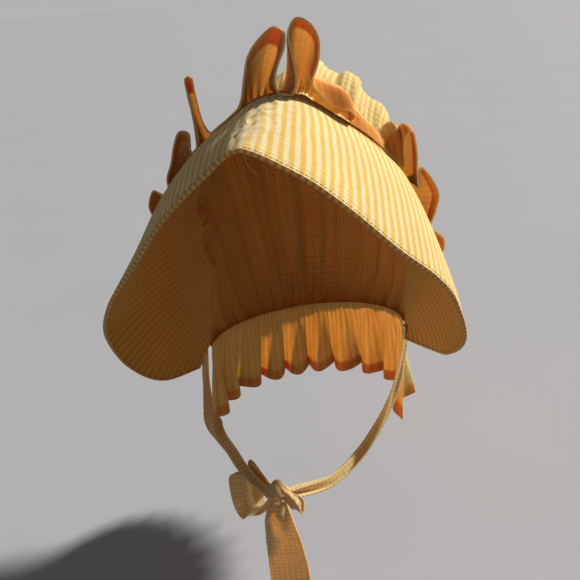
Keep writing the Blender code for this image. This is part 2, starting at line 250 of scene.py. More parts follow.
# Standing ruffle
RUFFLE_SEAT = 1.6
RUFFLE_TUCK = 1.0
RUFFLE_BOW = 2.0
RUFFLE_SWELL = 0.65
RUFFLE_CLEAR = 1.9
RUFFLE_CLEAR_REACH = 4.0
RUFFLE_PLEAT_RUN = 1.9
RUFFLE_PLEAT_DEPTH = 0.55
RUFFLE_FLUTTER = 0.35
EDGE_BY_RUN = 0.2
EDGE_BY_FOLD = 0.8

# Neck ruffle, with the last corner on the viewer's right lower and turned further in
NECK_CENTRE = (0.0, 15.0, 0.0)
NECK_LENGTH = 64.0
NECK_FOLDS = 11
NECK_FOLD_DEPTH = 8.0
NECK_FLARE = 7.0
NECK_CORNER_IN = 9.0
NECK_CORNER_FORWARD = 16.0
NECK_CORNER_SHARE = 0.05
NECK_LAST_CORNER_IN = 0.6
NECK_LAST_CORNER_DROP = 9.0
NECK_CURL = 2.5
NECK_BELOW_CASING = 1.0
NECK_PLEATS = 52
NECK_PLEAT_DEPTH = 0.8
NECK_CREASING = 0.9
NECK_TUCK_UP = 4.0
NECK_TUCK_IN = 1.0

# Ribbons, stitches and loose threads. The hem's soft edge and the fold's radius are in metres
RIBBON_DRIFT = 2.4
RIBBON_FOLD_SHARE = 0.10
RIBBON_DISH = 0.8
RIBBON_FLUTTER = 0.5
TOPSTITCH_GAP = 0.4
TOPSTITCH_THICK = 0.42
HEM_STITCH = (1.4, 1.4, 0.38)
HEM_EDGE = 0.0008
BRIM_FOLD_RADIUS = 0.0008
STRAY_START = (1.5, -0.5, -1.0)
STRAY_HANG = (7.0, -1.0, -11.0)
STRAY_BOW = (-1.6, 0.0, -1.2)
STRAY_THICK = 0.28
FRAY_THREADS = 46
FRAY_THICK = 0.26

# Sharper turns than these, in degrees, are shaded as edges
CLOTH_EDGE = 55
KNOT_EDGE = 60
THREAD_EDGE = 80

# The cloth's look, in metres: how far the stripes wander, how soft their edges are, and the shader's values
WANDER = 0.0028
WANDER_SCALE = 45.0
BAND_EDGE = 0.45
BUMP_STRENGTH = 0.35
BUMP_DEPTH = 0.0006
# Painted highlight: the pale colour of patches on the brim's crumples
PAINTED_HIGHLIGHT_COLOUR = (0.93, 0.88, 0.74, 1)
CLOTH_LOOK = {
    "Roughness": 0.85,
    "Sheen Weight": 0.08,
    "Sheen Roughness": 0.5,
    "Specular IOR Level": 0.15,
    "Subsurface Radius": (1.0, 0.64, 0.55),
    "Subsurface Scale": 0.0024,
}

# Stage, in metres: the sun from behind on the right, and a weak warm light in the face opening that shines on
# the right lobe. The sky's stops run from straight down to straight up
FLOOR_SIZE = 120.0
FLOOR_HEIGHT = -0.32
KEY_FROM = (0.70, 0.46, 0.55)
KEY_STRENGTH = 4.8
KEY_WIDTH = 6.0
KEY_COLOUR = (1.0, 0.92, 0.77)
BOUNCE_PLACE = (-0.005, -0.06, -0.14)
BOUNCE_FROM = (-1.0, 0.0, -0.25)
BOUNCE_STRENGTH = 0.022
BOUNCE_SIZE = 0.07
BOUNCE_COLOUR = (1.0, 0.86, 0.70)
SKY_STOPS = (
    (0.0, (0.15, 0.110, 0.075)),
    (0.47, (0.15, 0.120, 0.090)),
    (0.495, (0.465, 0.455, 0.46)),
    (0.55, (0.41, 0.405, 0.415)),
    (0.64, (0.12, 0.110, 0.105)),
    (1.0, (0.10, 0.095, 0.090)),
)
CAMERA_TURNS = (8.0, 25.0, -5.0)
CAMERA_TARGET = (-0.002, -0.030, -0.080)
CAMERA_DISTANCE = 0.41
CAMERA_NEAR = 0.01
LENS = 39.72
SENSOR = 36.0


def metres(name, description, default):
    return bpy.props.FloatProperty(name=name, description=description, default=default, unit="LENGTH")


def dye(name, description, default):
    return bpy.props.FloatVectorProperty(
        name=name, description=description, default=default, subtype="COLOR", min=0, max=1
    )


class BonnetSizes(bpy.types.PropertyGroup):
    check: metres("Check", "Width of one pair of gingham stripes", 0.0052)
    cross: metres("Cross bars", "Pitch of the finer bars across the stripes", 0.0026)
    thread: metres("Thread", "Spacing of the woven threads", 0.0004)
    brim_wall: metres("Brim wall", "Thickness of the stiffened brim", 0.0023)
    cloth_wall: metres("Hem wall", "Thickness of the doubled cloth in a hem", 0.0011)
    single: bpy.props.FloatProperty(
        name="Single share", description="Thickness of single cloth as a share of the hem's", default=0.48
    )
    hem: metres("Hem", "Depth of the ruffle's turned hem", 0.009)
    ribbon: metres("Ribbon", "Width of a tie laid flat", 0.024)
    stitch: metres("Stitch", "Length of one stitch", 0.0022)
    topstitch_in: metres("Topstitch", "Distance of the topstitching from the edge", 0.0022)


class BonnetColours(bpy.types.PropertyGroup):
    pale: dye("Pale", "Undyed check", (0.93, 0.85, 0.60))
    middle: dye("Middle", "Half-dyed check", (0.88, 0.68, 0.28))
    full: dye("Full", "Fully dyed check", (0.80, 0.50, 0.11))
    thread: dye("Thread", "Sewing thread", (0.22, 0.10, 0.03))
    floor: dye("Floor", "Stage floor", (0.46, 0.49, 0.585))


def hermite(rows, at, wanted):
    """Smooth values through the rows of a table, at the wanted places along it."""
    rows = np.array(rows, float)
    at = np.array(at, float)
    gaps = np.diff(at)[:, None]
    rates = np.diff(rows, axis=0) / gaps
    slopes = np.empty_like(rows)
    slopes[1:-1] = (rates[:-1] * gaps[1:] + rates[1:] * gaps[:-1]) / (gaps[:-1] + gaps[1:])
    slopes[0] = rates[0]
    slopes[-1] = rates[-1]
    wanted = np.clip(np.asarray(wanted, float), at[0], at[-1])
    i = np.clip(np.searchsorted(at, wanted, side="right") - 1, 0, len(at) - 2)
    gap = gaps[i]
    t = ((wanted - at[i]) / (at[i + 1] - at[i]))[:, None]
    near = rows[i] * (1 + 2 * t) * (1 - t) ** 2 + rows[i + 1] * t * t * (3 - 2 * t)
    return near + gap * (slopes[i] * t * (1 - t) ** 2 - slopes[i + 1] * t * t * (1 - t))


def run_of(points):
    """Distance along a run of points."""
    steps = np.linalg.norm(np.diff(points, axis=0), axis=1)
    return np.concatenate([[0.0], np.cumsum(steps)])


def lengths(points):
    """Distance along a run of points, from 0 to 1."""
    run = run_of(points)
    return run / run[-1]


def unit(vectors):
    return vectors / np.maximum(np.linalg.norm(vectors, axis=-1, keepdims=True), 1e-9)


def clamp(values):
    return np.clip(values, 0.0, 1.0)


def shares(across, deep):
    """Shares along and across a grid, from 0 to 1, ready to be combined."""
    return np.linspace(0, 1, across + 1)[:, None], np.linspace(0, 1, deep + 1)[None, :]


def normals_of(grid):
    """Outward normals of a grid whose rows run to the viewer's right and whose columns run backwards."""
    return unit(np.cross(np.gradient(grid, axis=0), np.gradient(grid, axis=1)))


def ripple(a, b, seed):
    """Smooth unevenness between -1 and 1 over two running values, from a few crossed waves."""
    turn = seed * 1.7
    return (
        np.sin(a * 1.00 + b * 0.37 + turn)
        + np.sin(a * 0.53 - b * 0.91 + 2.1 * turn)
        + np.sin(a * 1.71 + b * 1.13 + 0.6 * turn)
        + np.sin(-a * 0.29 + b * 1.67 + 3.3 * turn)
    ) / 4.0


STATIONS = np.array(BRIM_STATIONS, float)
STATION_AT = lengths(STATIONS[:, :3])
CREASE_AT = STATION_AT[9]


def stations(share):
    """Seam points and front edge points at these shares of the way along the seam."""
    rows = hermite(STATIONS, STATION_AT, share)
    return rows[:, :3], rows[:, 3:]


def brim_grid(across, deep):
    """Brim from its front edge back to the seam, arched a little, with the handling crease."""
    share = np.linspace(0.0, 1.0, across + 1)
    seam, front = stations(share)
    v = np.linspace(0.0, 1.0, deep + 1)[None, :, None]
    grid = front[:, None] * (1 - v) + seam[:, None] * v
    out = normals_of(grid)
    length = np.linalg.norm(front - seam, axis=1) / BRIM_REACH
    arch = BRIM_BULGE * np.sin(np.pi * v) * length[:, None, None]
    run = ((share - CREASE_AT) * SEAM_RUN)[:, None, None] - CREASE_ASIDE * v
    ridge = np.exp(-np.abs(run) / CREASE_WIDTH) * (1 - CREASE_SHRINK * v)
    dent = np.exp(-(((run - DENT_BESIDE_CREASE) / DENT_WIDTH) ** 2)) * np.sin(np.pi * v) ** 2
    return grid + out * (arch + CREASE_RISE * ridge - DENT_DEPTH * dent)


def seam_frame(share):
    """Seam points with the directions out of the head and backwards."""
    seam, front = stations(share)
    along = unit(np.gradient(seam, axis=0))
    back = unit(unit(seam - front) * SEAM_BACK_WEIGHTS + SEAM_BACK_LEAN)
    out = unit(np.cross(along, back))
    back = unit(np.cross(out, along))
    return seam, out, back


def gather_wave(share):
    """Folds along the gathers: uneven, between -1 and 1."""
    bend = share + 0.008 * np.sin(9.0 * share + 0.7) + 0.006 * np.sin(23.0 * share)
    return np.sin(2 * np.pi * CROWN_FOLDS * bend) * (0.8 + 0.2 * np.sin(17.0 * share))


def nape(share):
    """Casing line round the back of the neck, at the same shares."""
    turn = np.pi * (share - 0.5)
    x = NAPE_CENTRE[0] + NAPE_RADII[0] * np.sin(turn)
    y = NAPE_CENTRE[1] + NAPE_RADII[1] * np.cos(turn)
    z = NAPE_CENTRE[2] - NAPE_DIP * np.cos(turn) + NAPE_TILT * np.sin(turn)
    return np.stack([x, y, z], 1)


def gather_line(share):
    """Where the crown is drawn up behind the seam."""
    seam, out, back = seam_frame(share)
    room = clamp(np.minimum(share, 1 - share) / CORNER_SHARE)[:, None]
    setback = CORNER_SETBACK + (GATHER_SETBACK - CORNER_SETBACK) * room
    lift = (GATHER_RISE * gather_wave(share)[:, None] - GATHER_DIP) * room
    return seam + back * setback + out * lift, out, back


def crown_grid(across, deep, start_gap):
    """Crown bag: flat under the ruffle, then puffed over the head and drawn in at the nape."""
    share = np.linspace(0.0, 1.0, across + 1)
    seam, out, back = seam_frame(share)
    line, _, _ = gather_line(share)
    low = nape(share)
    start = seam + back * start_gap
    reach = np.linalg.norm(low - line, axis=1)[:, None]
    lean = unit(low - CROWN_CENTRE)
    first = line + (back * BAG_BACK + out * BAG_OUT) * reach * BAG_TOP_REACH
    second = low + unit(lean + BAG_LOW_LEAN) * reach * BAG_LOW_REACH
    front_cells = round(FLAT_BY_SEAM * deep)
    grid = np.empty((across + 1, deep + 1, 3))
    for j in range(front_cells):
        grid[:, j] = start + (line - start) * j / front_cells
    for j in range(front_cells, deep + 1):
        t = (j - front_cells) / (deep - front_cells)
        grid[:, j] = (
            line * (1 - t) ** 3
            + first * 3 * t * (1 - t) ** 2
            + second * 3 * t * t * (1 - t)
            + low * t**3
        )
    t = clamp((np.arange(deep + 1) - front_cells) / (deep - front_cells))
    puff = np.interp(share, *np.array(CROWN_PUFF).T)[:, None]
    rise = puff * np.sin(np.pi * clamp(t * PUFF_QUICKNESS))
    grid[..., 2] += rise
    grid[..., 0] += CROWN_LEAN * rise
    fade = clamp(np.minimum(share, 1 - share) / CROWN_END_FADE)[:, None]
    depth = CROWN_FOLD_DEPTH * (0.35 + 0.65 * np.abs(np.cos(np.pi * t)))[None, :] * fade
    depth = depth * clamp(t / 0.12) * clamp((1.0 - t) / 0.1)
    shift = share[:, None] + 0.02 * np.sin(3.0 * t + 8.0 * share[:, None])
    wave = gather_wave(shift.reshape(-1)).reshape(shift.shape)
    slack = CROWN_SLACK * np.sin(11.0 * share[:, None] + 4.0 * t) * np.sin(np.pi * t) ** 2
    return grid + normals_of(grid) * (wave * depth + slack * fade)[..., None]


def free_edge():
    """x, y, z, gathered share and rise along the ruffle's free edge, evenly shared out within each fold."""
    rows = []
    for fold, after in zip(RUFFLE_FOLDS, RUFFLE_FOLDS[1:] + RUFFLE_FOLDS[-1:]):
        for k, (x, z) in enumerate(fold[3]):
            part = k / len(fold[3])
            share, y, rise = (a + (b - a) * part for a, b in zip(fold[:3], after[:3]))
            rows.append((x, y, z, share, rise))
    return np.array(rows, float)


def clear_of(grid, others, room):
    """Moves points that come too near to other surfaces outwards, along those surfaces' normals."""
    spots = np.concatenate([other.reshape(-1, 3) for other in others])
    faces = np.concatenate([normals_of(other).reshape(-1, 3) for other in others])
    points = grid.reshape(-1, 3).copy()
    for _ in range(2):
        for k, point in enumerate(points):
            gaps = point - spots
            near = int(np.argmin(np.einsum("ij,ij->i", gaps, gaps)))
            height = float(gaps[near] @ faces[near])
            aside = float(np.linalg.norm(gaps[near] - height * faces[near]))
            if height < room and aside < RUFFLE_CLEAR_REACH:
                points[k] = point + faces[near] * (room - height)
    return points.reshape(grid.shape)


def ruffle_grid(across, deep):
    """Standing ruffle: from its looped free edge back to the gathers behind the seam."""
    edge = free_edge()
    at = EDGE_BY_RUN * lengths(edge[:, :3]) + EDGE_BY_FOLD * np.linspace(0, 1, len(edge))
    rows = hermite(edge, at, np.linspace(0.0, 1.0, across + 1))
    free = rows[:, :3]
    share = np.maximum.accumulate(rows[:, 3])
    line, out, back = gather_line(share)
    base = line + out * RUFFLE_SEAT - back * RUFFLE_TUCK
    v = np.linspace(0.0, 1.0, deep + 1)[None, :, None]
    grid = free[:, None] * (1 - v) + base[:, None] * v
    grid = grid + out[:, None] * np.sin(np.pi * v) * RUFFLE_BOW
    grid[..., 2] += np.sin(np.pi * v**RUFFLE_SWELL)[..., 0] * rows[:, 4:5]
    return grid


def resample(grid, across, deep):
    """The same surface with more rows and columns, smooth through the given ones."""
    rows, columns = grid.shape[:2]
    wide = hermite(grid.reshape(rows, -1), np.arange(rows), np.linspace(0, rows - 1, across + 1))
    wide = wide.reshape(across + 1, columns, 3).transpose(1, 0, 2)
    tall = hermite(wide.reshape(columns, -1), np.arange(columns), np.linspace(0, columns - 1, deep + 1))
    return tall.reshape(deep + 1, across + 1, 3).transpose(1, 0, 2)


def neck_grid(across, deep):
    """Neck ruffle: hangs from the nape casing in soft folds, its front corners turned in."""
    share = np.linspace(0.0, 1.0, across + 1)
    top = nape(share)
    outward = unit((top - NECK_CENTRE) * (1, 1, 0))
    v = np.linspace(0.0, 1.0, deep + 1)[None, :, None]
    bend = share + 0.012 * np.sin(13.0 * share + 0.5)
    wave = np.sin(2 * np.pi * NECK_FOLDS * bend)[:, None, None]
    side = unit(np.gradient(top, axis=0))
    curl = np.cos(2 * np.pi * NECK_FOLDS * bend)[:, None, None]
    drop = np.array([0.0, 0.0, -NECK_LENGTH]) * v
    near = np.exp(-np.minimum(share, 1 - share) / NECK_CORNER_SHARE)[:, None, None]
    flare = wave * NECK_FOLD_DEPTH * v**1.2 + (NECK_FLARE - NECK_CORNER_IN * near) * v
    grid = top[:, None] + drop - np.array([0, 0, NECK_BELOW_CASING]) + outward[:, None] * flare
    grid = grid + side[:, None] * curl * NECK_CURL * v
    grid[..., 1] -= NECK_CORNER_FORWARD * (near * v)[..., 0]
    last = np.exp(-(1 - share) / NECK_CORNER_SHARE)[:, None]
    grid[..., 0] -= NECK_CORNER_IN * NECK_LAST_CORNER_IN * last * v[..., 0]
    grid[..., 2] -= NECK_LAST_CORNER_DROP * last * v[..., 0]
    return grid


def ribbon_grid(rows, cells, across_cells, width):
    """A ribbon along a path. Where it is narrower than the cloth, the spare width lies in folds along it."""
    rows = np.array(rows, float)
    fine = hermite(rows, lengths(rows[:, :3]), np.linspace(0.0, 1.0, cells + 1))
    path = fine[:, :3]
    across = unit(fine[:, 3:6])
    share = fine[:, 6:7]
    along = unit(np.gradient(path, axis=0))
    across = unit(across - along * np.sum(across * along, axis=1, keepdims=True))
    face = np.cross(along, across)
    w = np.linspace(-1.0, 1.0, across_cells + 1)[None, :, None]
    spare = np.sqrt(clamp(1.0 - np.minimum(share, 1.0) ** 2))[:, None]
    drift = np.linspace(0.0, RIBBON_DRIFT, cells + 1)[:, None, None]
    fold = np.sin(np.pi * (1.4 * w + 0.25) + drift) * spare * width * RIBBON_FOLD_SHARE
    dish = (1 - w * w) * RIBBON_DISH
    flutter = ripple(3.0 * w, 9.0 * drift, 2.0) * RIBBON_FLUTTER
    aside = across[:, None] * w * share[:, None] * width * 0.5
    return path[:, None] + aside + face[:, None] * (fold + dish + flutter)


def grid_uv(grid, fullness=1.0):
    """Cloth coordinates in metres: along the middle column's run, and along each row."""
    middle = grid[:, grid.shape[1] // 2]
    u = run_of(middle) * fullness * MM
    steps = np.linalg.norm(np.diff(grid, axis=1), axis=2).mean(0)
    v = np.concatenate([[0.0], np.cumsum(steps)]) * MM
    return np.stack(np.broadcast_arrays(u[:, None], v[None, :]), -1)


def nothing_selected():
    bpy.ops.object.select_all(action="DESELECT")


def only(piece):
    """Makes a piece the one selected and active object."""
    nothing_selected()
    piece.select_set(True)
    bpy.context.view_layer.objects.active = piece


def apply_modifiers(piece):
    only(piece)
    for modifier in list(piece.modifiers):
        bpy.ops.object.modifier_apply(modifier=modifier.name)


def shaded(piece, degrees):
    only(piece)
    bpy.ops.object.shade_smooth_by_angle(angle=math.radians(degrees))


def dressed(piece, finishes):
    piece.data.materials.clear()
    for finish in finishes:
        piece.data.materials.append(finish)


def placed(piece, name, nodes=()):
    """Names a finished piece, hides the solids that it stands for and attaches it to its body."""
    piece.name = name
    piece.data.name = name
    for node in nodes:
        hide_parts(node)
    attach(piece, BODY)
    return piece


def sheet_mesh(grid, uv):
    """A flat grid primitive shaped into a cloth surface, with its cloth coordinates."""
    rows, columns = grid.shape[:2]
    nothing_selected()
    bpy.ops.mesh.primitive_grid_add(x_subdivisions=rows - 1, y_subdivisions=columns - 1, size=1.0)
    piece = bpy.context.active_object
    mesh = piece.data
    flat = np.empty(len(mesh.vertices) * 3)
    mesh.vertices.foreach_get("co", flat)
    flat = flat.reshape(-1, 3)
    i = np.rint((flat[:, 0] + 0.5) * (rows - 1)).astype(int)
    j = np.rint((flat[:, 1] + 0.5) * (columns - 1)).astype(int)
    mesh.vertices.foreach_set("co", (grid[i, j] * MM).astype(np.float32).ravel())
    corners = np.empty(len(mesh.loops), np.int32)
    mesh.loops.foreach_get("vertex_index", corners)
    mesh.uv_layers.active.data.foreach_set("uv", uv[i, j][corners].astype(np.float32).ravel())
    mesh.update()
    return piece, i, j


def cloth(name, grid, uv, wall, finishes, nodes, marks=None, single=1.0, rounded=None):
    """A cloth piece with its wall.

    marks gives named values from 0 to 1 at each grid point. Where the mark doubled is 0, the wall has
    the share single of its thickness. With three finishes, the second is on the side towards the head and the
    third on the edges.
    """
    piece, i, j = sheet_mesh(grid, uv)
    shell = piece.modifiers.new("Wall", "SOLIDIFY")
    shell.thickness = wall
    shell.offset = 0.0
    if len(finishes) == 3:
        shell.material_offset = 1
        shell.material_offset_rim = 2
    for key, values in (marks or {}).items():
        mark = piece.data.attributes.new(key, "FLOAT", "POINT")
        mark.data.foreach_set("value", values[i, j].astype(np.float32))
    if marks and "doubled_and_shaded" in marks:
        doubled_and_shaded = np.round(marks["doubled_and_shaded"][i, j], 2)
        group = piece.vertex_groups.new(name="hem")
        for weight in np.unique(doubled_and_shaded):
            group.add([int(k) for k in np.nonzero(doubled_and_shaded == weight)[0]], float(weight), "REPLACE")
        shell.vertex_group = "hem"
        shell.thickness_vertex_group = single
    if rounded:
        bevel = piece.modifiers.new("Fold", "BEVEL")
        bevel.width = rounded
        bevel.segments = 3
        bevel.limit_method = "ANGLE"
        bevel.angle_limit = math.radians(CLOTH_EDGE)
    dressed(piece, finishes)
    apply_modifiers(piece)
    shaded(piece, CLOTH_EDGE)
    return placed(piece, name, nodes)


def stitch_row(name, points, faces, length, gap, thick, slot, finish):
    """Stitches along a run of points, each a small pinched bead lying on the cloth."""
    run = run_of(points)
    starts = np.arange(gap, run[-1] - length - gap, length + gap)
    nothing_selected()
    bpy.ops.mesh.primitive_uv_sphere_add(segments=6, ring_count=4, radius=1.0)
    bead = bpy.context.active_object
    bead_points = np.array([v.co for v in bead.data.vertices])
    bead_faces = [tuple(p.vertices) for p in bead.data.polygons]

    def along_run(values, at):
        return np.stack([np.interp(at, run, values[:, c]) for c in range(3)], 1)

    ends = [along_run(points, starts + part) for part in (0, length)]
    up = unit(along_run(faces, starts))
    middle = (ends[0] + ends[1]) / 2
    along = unit(ends[1] - ends[0])
    side = unit(np.cross(up, along))
    all_points = []
    all_faces = []
    for k in range(len(starts)):
        turned = (
            np.outer(bead_points[:, 2], along[k]) * length / 2
            + np.outer(bead_points[:, 0], side[k]) * thick / 2
            + np.outer(bead_points[:, 1], up[k]) * thick / 2
        )
        offset = len(all_points) * len(bead_points)
        all_points.append(middle[k] + turned)
        all_faces.extend(tuple(offset + c for c in face) for face in bead_faces)
    mesh = bpy.data.meshes.new(name)
    mesh.from_pydata((np.concatenate(all_points) * MM).tolist(), [], all_faces)
    mesh.update()
    old = bead.data
    bead.data = mesh
    bpy.data.meshes.remove(old)
    shaded(bead, THREAD_EDGE)
    dressed(bead, [finish])
    return placed(bead, name)


def stitches_on_both(name, line, faces, wall, stitch, slot, finish):
    """A row of stitches on each face of a cloth. stitch holds their length, gap and thickness."""
    rows = []
    for side, face in ((1.0, "outer"), (-1.0, "inner")):
        over = line + faces * side * wall
        rows.append(stitch_row(f"{name}_{face}", over, faces * side, *stitch, slot, finish))
    return rows


def hemmed(name, node, grid, uv, inside, finishes):
    """A gathered strip with a turned hem and its stitches. inside is how far each point lies in the hem."""
    sizes = bpy.context.scene.bonnet_sizes
    piece = cloth(
        f"{name}_cloth", grid, uv, sizes.cloth_wall, finishes, [node],
        marks={"doubled_and_shaded": clamp(inside / HEM_EDGE + 0.5)}, single=sizes.single,
    )
    column = int(np.argmin(np.abs(inside[0])))
    line, faces = grid[:, column], normals_of(grid)[:, column]
    wall = sizes.cloth_wall / MM * sizes.single / 2
    thread = thread_finish(f"{name}_thread", bpy.context.scene.bonnet_colours.thread)
    stitches = stitches_on_both(
        f"{name}_hemstitch", line, faces, wall, HEM_STITCH, f"{name}_cloth", thread
    )


def thread_piece(name, paths, thick, finish):
    """Loose threads: one curve with a spline for each, made a mesh."""
    nothing_selected()
    bpy.ops.curve.primitive_bezier_curve_add()
    piece = bpy.context.active_object
    curve = piece.data
    curve.splines.clear()
    curve.dimensions = "3D"
    curve.bevel_depth = thick * MM / 2
    curve.bevel_resolution = 1
    curve.use_fill_caps = True
    for path in paths:
        spline = curve.splines.new("POLY")
        spline.points.add(len(path) - 1)
        for point, place in zip(spline.points, path):
            point.co = (*(float(c) * MM for c in place), 1.0)
    bpy.ops.object.convert(target="MESH")
    piece = bpy.context.active_object
    shaded(piece, THREAD_EDGE)
    dressed(piece, [finish])
    return placed(piece, name)


class Nodes:
    """Short ways to add and join the nodes of a material or a world."""

    def __init__(self, made, last="Principled BSDF"):
        made.use_nodes = True
        self.made = made
        self.tree = made.node_tree
        self.shader = self.tree.nodes[last]

    def add(self, kind, **values):
        node = self.tree.nodes.new(kind)
        for key, value in values.items():
            setattr(node, key, value)
        return node

    def join(self, value, socket):
        if isinstance(value, bpy.types.NodeSocket):
            self.tree.links.new(value, socket)
        else:
            socket.default_value = value

    def math(self, operation, a, b=0.0, c=0.0):
        node = self.add("ShaderNodeMath", operation=operation)
        for value, socket in zip((a, b, c), node.inputs):
            self.join(value, socket)
        return node.outputs[0]

    def mix(self, share, a, b, blend="MIX"):
        node = self.add("ShaderNodeMix", data_type="RGBA", blend_type=blend)
        self.join(share, node.inputs[0])
        self.join(a, node.inputs[6])
        self.join(b, node.inputs[7])
        return node.outputs[2]

    def noise(self, vector, scale, detail=2.0):
        node = self.add("ShaderNodeTexNoise")
        self.join(vector, node.inputs["Vector"])
        node.inputs["Scale"].default_value = scale
        node.inputs["Detail"].default_value = detail
        return node.outputs["Fac"]

    def span(self, value, low, high, to_low=0.0, to_high=1.0):
        node = self.add("ShaderNodeMapRange")
        self.join(value, node.inputs["Value"])
        for key, number in zip(("From Min", "From Max", "To Min", "To Max"), (low, high, to_low, to_high)):
            node.inputs[key].default_value = number
        return node.outputs["Result"]

    def ramp(self, value, stops):
        node = self.add("ShaderNodeValToRGB")
        self.join(value, node.inputs[0])
        elements = node.color_ramp.elements
        for place, _ in stops[1:-1]:
            elements.new(place)
        for element, (_, colour) in zip(elements, stops):
            element.color = (*colour, 1)
        return node.outputs[0]

    def dimmed(self, colour, value):
        """The colour multiplied by one value."""
        grey = self.add("ShaderNodeCombineColor")
        for socket in grey.inputs:
            self.join(value, socket)
        return self.mix(1.0, colour, grey.outputs[0], "MULTIPLY")

    def mark(self, key):
        return self.add("ShaderNodeAttribute", attribute_name=key).outputs["Fac"]

    def look(self, values):
        for key, value in values.items():
            self.shader.inputs[key].default_value = value


def gingham(name, through, stripes=(1.0, 0.35), pitch=(1.0, 1.0), deep=None, hem=None, crumple_highlight=False):
    """Woven check on a piece's cloth coordinates.

    through is how much light the cloth lets in, stripes the strength of the lengthwise and crosswise bars,
    pitch their spacing as a share of the cloth's own. deep tints all of the cloth. hem darkens the hems and
    strips: painted shade, on hems that are really doubled and on strips that are not. The last option paints
    pale patches, a painted highlight, on the crumples.
    """
    sizes = bpy.context.scene.bonnet_sizes
    colours = bpy.context.scene.bonnet_colours
    n = Nodes(bpy.data.materials.new(name))
    cloth_at = n.add("ShaderNodeTexCoord")
    in_cloth = cloth_at.outputs["UV"]
    in_space = cloth_at.outputs["Object"]
    wander = n.noise(in_cloth, WANDER_SCALE)
    apart = n.add("ShaderNodeSeparateXYZ")
    n.join(in_cloth, apart.inputs[0])
    bands = []
    weave = []
    for axis, bar in ((0, sizes.check), (1, sizes.cross)):
        drawn = n.math("MULTIPLY_ADD", wander, WANDER, apart.outputs[axis])
        wave = n.math("SINE", n.math("MULTIPLY", drawn, 2 * math.pi / (bar * pitch[axis])))
        bands.append(n.math("MULTIPLY", n.span(wave, -BAND_EDGE, BAND_EDGE), stripes[axis]))
        weave.append(n.math("SINE", n.math("MULTIPLY", apart.outputs[axis], 2 * math.pi / sizes.thread)))
    dyed = n.math("ADD", n.math("MULTIPLY", bands[0], 0.7), n.math("MULTIPLY", bands[1], 0.5))
    check = n.ramp(dyed, ((0.0, colours.pale), (0.5, colours.middle), (1.0, colours.full)))
    threads = n.math("MULTIPLY", weave[0], weave[1])
    fleck = n.span(threads, -1, 1, 0.90, 1.0)
    blotch = n.span(n.noise(in_space, 28.0, 4.0), 0.3, 0.7, 0.93, 1.03)
    slub = n.span(n.noise(in_space, 420.0), 0.3, 0.7, 0.93, 1.03)
    colour = n.dimmed(check, n.math("MULTIPLY", n.math("MULTIPLY", fleck, blotch), slub))
    if deep:
        colour = n.mix(1.0, colour, (*deep, 1), "MULTIPLY")
    # Painted shade: darker hems and shaded strips, where the mark is up
    if hem:
        colour = n.mix(n.mark("doubled_and_shaded"), colour, (*hem, 1), "MULTIPLY")
    # Painted highlight: pale patches on the crumples, where the mark is up
    if crumple_highlight:
        highlight_patches = n.math("MULTIPLY", n.mark("crumple_highlight"), n.span(n.noise(in_space, 300.0), 0.4, 0.6))
        colour = n.mix(highlight_patches, colour, PAINTED_HIGHLIGHT_COLOUR)
    n.join(colour, n.shader.inputs["Base Color"])
    creases = n.noise(in_space, 160.0, 3.0)
    bump = n.add("ShaderNodeBump")
    bump.inputs["Strength"].default_value = BUMP_STRENGTH
    bump.inputs["Distance"].default_value = BUMP_DEPTH
    n.join(n.math("MULTIPLY_ADD", threads, 0.15, creases), bump.inputs["Height"])
    n.join(bump.outputs[0], n.shader.inputs["Normal"])
    n.look(CLOTH_LOOK)
    n.look({"Subsurface Weight": through})
    return n.made


def plain_finish(name, colour, scale, darkest, palest, roughness):
    """One colour with a little unevenness, from its darkest to its palest share."""
    n = Nodes(bpy.data.materials.new(name))
    at = n.add("ShaderNodeTexCoord").outputs["Object"]
    uneven = n.span(n.noise(at, scale), 0.3, 0.7, darkest, palest)
    n.join(n.dimmed((*colour, 1), uneven), n.shader.inputs["Base Color"])
    n.look({"Roughness": roughness})
    return n.made


def thread_finish(name, colour):
    return plain_finish(name, colour, 900.0, 0.75, 1.1, 0.7)


